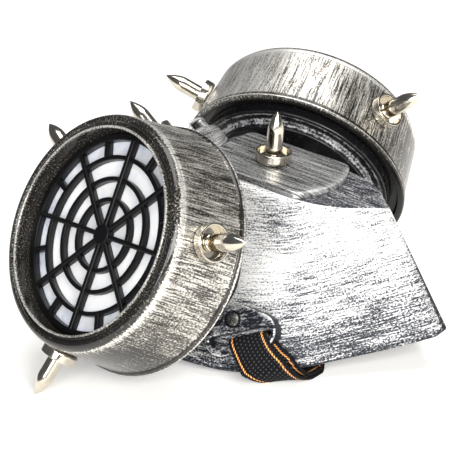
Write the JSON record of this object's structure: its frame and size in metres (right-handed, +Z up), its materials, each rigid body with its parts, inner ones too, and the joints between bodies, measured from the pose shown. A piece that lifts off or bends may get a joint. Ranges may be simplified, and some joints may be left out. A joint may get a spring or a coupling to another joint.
{
  "type": "gas mask style costume mask",
  "caption": "Half-face costume mask: hollow pointed body, drum-shaped side canisters with web grilles, round front valve, bullet spikes in cup washers, and an elastic strap through side ears.",
  "frame": {"origin": "on the surface that the mask lies on, under the middle of its box", "axes": "+X across the mask towards the right canister, -Y towards the nose end, +Z up and away from the open back"},
  "size_m": [0.2112, 0.165, 0.1072],
  "materials": {
    "silvered_body": "black plastic dry-brushed with silver, near white on the side panels",
    "silvered_black": "black plastic dry-brushed with silver in long streaks",
    "dark_silvered": "glossy black plastic with a thin brushing of silver",
    "black_plastic": "plain glossy black plastic",
    "filter_cloth": "white filter cloth",
    "nickel": "polished nickel plate",
    "elastic": "black ribbed elastic with dotted orange stripes"
  },
  "bodies": {
    "root": {"body_shell": "silvered_body", "nose_tongue": "dark_silvered", "front_valve": "silvered_black", "spike_nose": "nickel", "washer_nose": "nickel", "spike_chin": "nickel", "washer_chin": "nickel", "canister_left": "silvered_black", "base_plate_left": "black_plastic", "grille_left": "black_plastic", "filter_left": "filter_cloth", "spike_left_1": "nickel", "washer_left_1": "nickel", "spike_left_2": "nickel", "washer_left_2": "nickel", "spike_left_3": "nickel", "washer_left_3": "nickel", "canister_right": "silvered_black", "base_plate_right": "black_plastic", "grille_right": "black_plastic", "filter_right": "filter_cloth", "spike_right_1": "nickel", "washer_right_1": "nickel", "spike_right_2": "nickel", "washer_right_2": "nickel", "spike_right_3": "nickel", "washer_right_3": "nickel", "ear_tab_left": "dark_silvered", "ear_screw_left": "dark_silvered", "ear_tab_right": "dark_silvered", "ear_screw_right": "dark_silvered", "strap": "elastic"}
  },
  "joints": []
}
